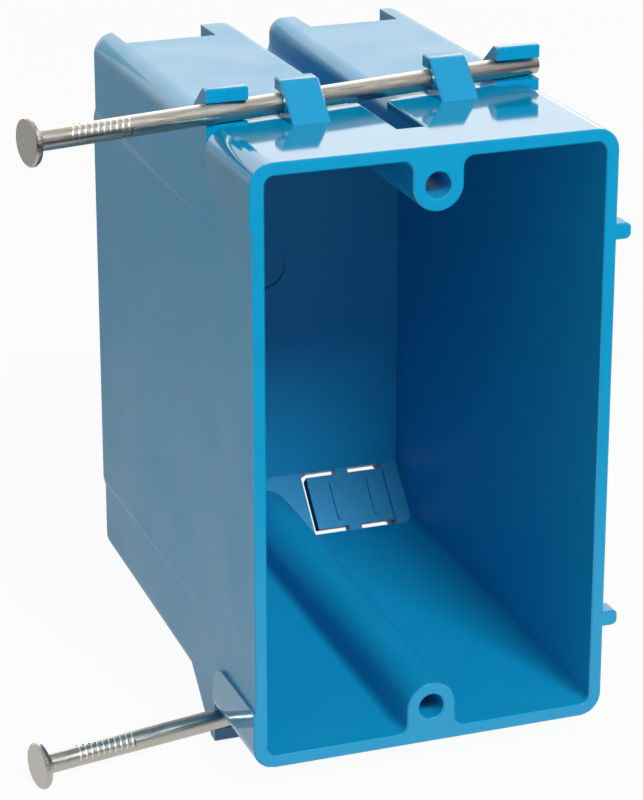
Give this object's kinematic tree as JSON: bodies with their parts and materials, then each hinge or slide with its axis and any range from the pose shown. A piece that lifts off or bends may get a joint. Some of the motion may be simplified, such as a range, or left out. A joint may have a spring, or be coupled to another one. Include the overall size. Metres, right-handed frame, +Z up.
{
  "type": "new work outlet box",
  "caption": "Nail-on new work outlet box: open-fronted moulded box with device screw bosses, cable flaps at the back corners and captive nails in moulded guides.",
  "frame": {"origin": "midway between the two device screw holes, in the plane of the rim", "axes": "-Y out of the open front along the screw holes, +Z up, +X towards the stud side"},
  "size_m": [0.0901, 0.085, 0.106],
  "materials": {
    "moulded_plastic": "gloss",
    "nail_steel": "satin"
  },
  "bodies": {
    "box": {"box_body": "moulded_plastic"},
    "upper_nail": {"nail_top": "nail_steel"},
    "lower_nail": {"nail_bottom": "nail_steel"}
  },
  "joints": [
    {"name": "upper_nail_drive", "type": "slide", "parent": "box", "child": "upper_nail", "axis": [0.9829, 0.184, 0], "range_m": [0, 0.0255]},
    {"name": "lower_nail_drive", "type": "slide", "parent": "box", "child": "lower_nail", "axis": [0.9829, 0.184, 0], "range_m": [0, 0.0255]}
  ]
}
